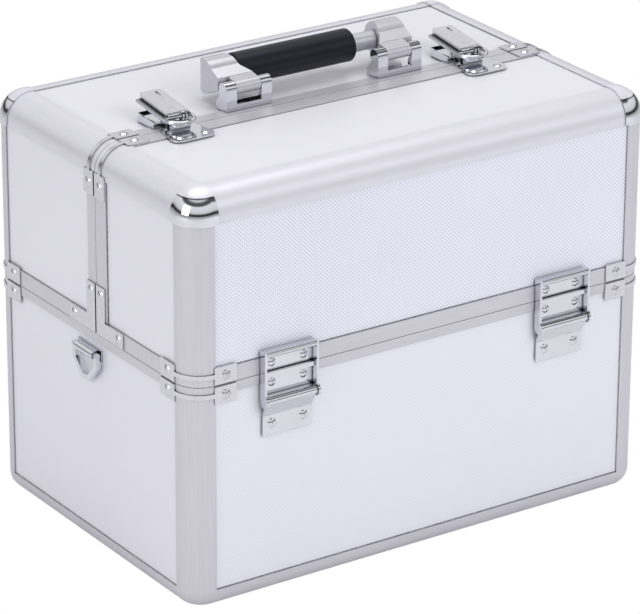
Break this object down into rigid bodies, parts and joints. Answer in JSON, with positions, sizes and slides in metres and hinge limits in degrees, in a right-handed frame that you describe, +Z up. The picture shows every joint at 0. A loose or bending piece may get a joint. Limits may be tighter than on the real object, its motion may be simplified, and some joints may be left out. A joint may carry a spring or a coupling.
{
  "type": "cosmetics train case",
  "caption": "Rigid cosmetics case with metal edging, split top lids on side hinges, swing-out trays, draw latches, folding carry handle and end rings.",
  "frame": {"origin": "centre of the overall box at the underside of the feet", "axes": "+X along the length, to the right seen from the front; +Y towards the back; +Z up. The front, with two hinges, faces -Y"},
  "size_m": [0.3824, 0.2688, 0.3266],
  "materials": {
    "panel": "satin skin with a fine dimple pattern",
    "rail": "satin anodised",
    "chrome": "polished plating",
    "bracket": "satin nickel",
    "grip": "smooth black",
    "tray": "moulded, fine grain",
    "foot": "matt",
    "arm": "plated flat bar"
  },
  "bodies": {
    "base": {"bottom_panel": "panel", "base_front_panel": "panel", "base_back_panel": "panel", "base_end_panels": "panel", "base_posts": "rail", "bottom_rails": "rail", "bottom_corners": "rail", "base_rim_rails": "rail", "base_brackets": "bracket", "base_rivets": "bracket", "feet": "foot", "front_hinge_leaves": "chrome", "back_hinge_leaves": "chrome", "hinge_pins": "chrome", "ring_brackets": "bracket"},
    "front_lid": {"front_lid_front_panel": "panel", "front_lid_top_panel": "panel", "front_lid_end_panels": "panel", "front_lid_edge_rails": "rail", "front_lid_posts": "rail", "front_lid_corners": "chrome", "front_lid_rim_rails": "rail", "front_lid_seam_rails": "rail", "front_lid_brackets": "bracket", "front_lid_rivets": "bracket", "front_hinge_frames": "chrome", "catches": "chrome"},
    "back_lid": {"back_lid_back_panel": "panel", "back_lid_top_panel": "panel", "back_lid_end_panels": "panel", "back_lid_edge_rails": "rail", "back_lid_posts": "rail", "back_lid_corners": "chrome", "back_lid_rim_rails": "rail", "back_lid_seam_rails": "rail", "back_lid_brackets": "bracket", "back_lid_rivets": "bracket", "back_hinge_frames": "chrome", "latch_bases": "chrome", "handle_brackets": "chrome"},
    "handle": {"handle_arms": "chrome", "handle_grip": "grip"},
    "lever_left": {"lever_left": "chrome"},
    "lever_right": {"lever_right": "chrome"},
    "bail_left": {"bail_left": "chrome"},
    "bail_right": {"bail_right": "chrome"},
    "ring_left": {"ring_left": "chrome"},
    "ring_right": {"ring_right": "chrome"},
    "front_arms_outer": {"front_arms_outer": "arm"},
    "front_arms_inner": {"front_arms_inner": "arm"},
    "back_arms_outer": {"back_arms_outer": "arm"},
    "back_arms_inner": {"back_arms_inner": "arm"},
    "front_links": {"front_links": "arm"},
    "back_links": {"back_links": "arm"},
    "front_tray_lower": {"front_tray_lower": "tray"},
    "front_tray_upper": {"front_tray_upper": "tray"},
    "back_tray_lower": {"back_tray_lower": "tray"},
    "back_tray_upper": {"back_tray_upper": "tray"}
  },
  "joints": [
    {"name": "front_lid_hinge", "type": "hinge", "parent": "base", "child": "front_lid", "pos_m": [0, -0.13, 0.146], "axis": [1, 0, 0], "range_deg": [0, 95]},
    {"name": "back_lid_hinge", "type": "hinge", "parent": "base", "child": "back_lid", "pos_m": [0, 0.13, 0.146], "axis": [-1, 0, 0], "range_deg": [0, 95]},
    {"name": "handle_fold", "type": "hinge", "parent": "back_lid", "child": "handle", "pos_m": [0, -0.0002, 0.3118], "axis": [1, 0, 0], "range_deg": [0, 90]},
    {"name": "lever_left_lift", "type": "hinge", "parent": "back_lid", "child": "lever_left", "pos_m": [-0.122, -0.0082, 0.3036], "axis": [1, 0, 0], "range_deg": [0, 60]},
    {"name": "bail_left_level", "type": "hinge", "parent": "lever_left", "child": "bail_left", "pos_m": [-0.122, 0.021, 0.3084], "axis": [1, 0, 0], "range_deg": [-60, 0]},
    {"name": "ring_left_swing", "type": "hinge", "parent": "base", "child": "ring_left", "pos_m": [-0.1882, 0, 0.15], "axis": [0, 1, 0], "range_deg": [0, 120]},
    {"name": "lever_right_lift", "type": "hinge", "parent": "back_lid", "child": "lever_right", "pos_m": [0.1155, -0.0082, 0.3036], "axis": [1, 0, 0], "range_deg": [0, 60]},
    {"name": "bail_right_level", "type": "hinge", "parent": "lever_right", "child": "bail_right", "pos_m": [0.1155, 0.021, 0.3084], "axis": [1, 0, 0], "range_deg": [-60, 0]},
    {"name": "ring_right_swing", "type": "hinge", "parent": "base", "child": "ring_right", "pos_m": [0.1882, 0, 0.15], "axis": [0, -1, 0], "range_deg": [0, 120]},
    {"name": "front_arms_outer_swing", "type": "hinge", "parent": "base", "child": "front_arms_outer", "pos_m": [0, -0.097, 0.15532], "axis": [1, 0, 0], "range_deg": [0, 70.1]},
    {"name": "front_arms_inner_swing", "type": "hinge", "parent": "base", "child": "front_arms_inner", "pos_m": [0, -0.079, 0.15532], "axis": [1, 0, 0], "range_deg": [0, 70.1]},
    {"name": "front_tray_lower_level", "type": "hinge", "parent": "front_arms_outer", "child": "front_tray_lower", "pos_m": [0, -0.07061, 0.193], "axis": [1, 0, 0], "range_deg": [-70.1, 0]},
    {"name": "front_tray_upper_level", "type": "hinge", "parent": "front_arms_outer", "child": "front_tray_upper", "pos_m": [0, -0.0356, 0.243], "axis": [1, 0, 0], "range_deg": [-70.1, 0]},
    {"name": "front_links_turn", "type": "hinge", "parent": "front_lid", "child": "front_links", "pos_m": [0, -0.1028, 0.184], "axis": [1, 0, 0], "range_deg": [-74.2, 0]},
    {"name": "back_arms_outer_swing", "type": "hinge", "parent": "base", "child": "back_arms_outer", "pos_m": [0, 0.097, 0.15532], "axis": [-1, 0, 0], "range_deg": [0, 70.1]},
    {"name": "back_arms_inner_swing", "type": "hinge", "parent": "base", "child": "back_arms_inner", "pos_m": [0, 0.079, 0.15532], "axis": [-1, 0, 0], "range_deg": [0, 70.1]},
    {"name": "back_tray_lower_level", "type": "hinge", "parent": "back_arms_outer", "child": "back_tray_lower", "pos_m": [0, 0.07061, 0.193], "axis": [-1, 0, 0], "range_deg": [-70.1, 0]},
    {"name": "back_tray_upper_level", "type": "hinge", "parent": "back_arms_outer", "child": "back_tray_upper", "pos_m": [0, 0.0356, 0.243], "axis": [-1, 0, 0], "range_deg": [-70.1, 0]},
    {"name": "back_links_turn", "type": "hinge", "parent": "back_lid", "child": "back_links", "pos_m": [0, 0.1028, 0.184], "axis": [-1, 0, 0], "range_deg": [-74.2, 0]}
  ],
  "couplings": [
    {"joint": "back_lid_hinge", "follows": "front_lid_hinge", "ratio": 1},
    {"joint": "front_arms_outer_swing", "follows": "front_lid_hinge", "ratio": 0.73684},
    {"joint": "front_arms_inner_swing", "follows": "front_lid_hinge", "ratio": 0.73684},
    {"joint": "front_tray_lower_level", "follows": "front_lid_hinge", "ratio": -0.73684},
    {"joint": "front_tray_upper_level", "follows": "front_lid_hinge", "ratio": -0.73684},
    {"joint": "front_links_turn", "follows": "front_lid_hinge", "ratio": -0.78},
    {"joint": "back_arms_outer_swing", "follows": "front_lid_hinge", "ratio": 0.73684},
    {"joint": "back_arms_inner_swing", "follows": "front_lid_hinge", "ratio": 0.73684},
    {"joint": "back_tray_lower_level", "follows": "front_lid_hinge", "ratio": -0.73684},
    {"joint": "back_tray_upper_level", "follows": "front_lid_hinge", "ratio": -0.73684},
    {"joint": "back_links_turn", "follows": "front_lid_hinge", "ratio": -0.78},
    {"joint": "bail_left_level", "follows": "lever_left_lift", "ratio": -1},
    {"joint": "bail_right_level", "follows": "lever_right_lift", "ratio": -1}
  ]
}
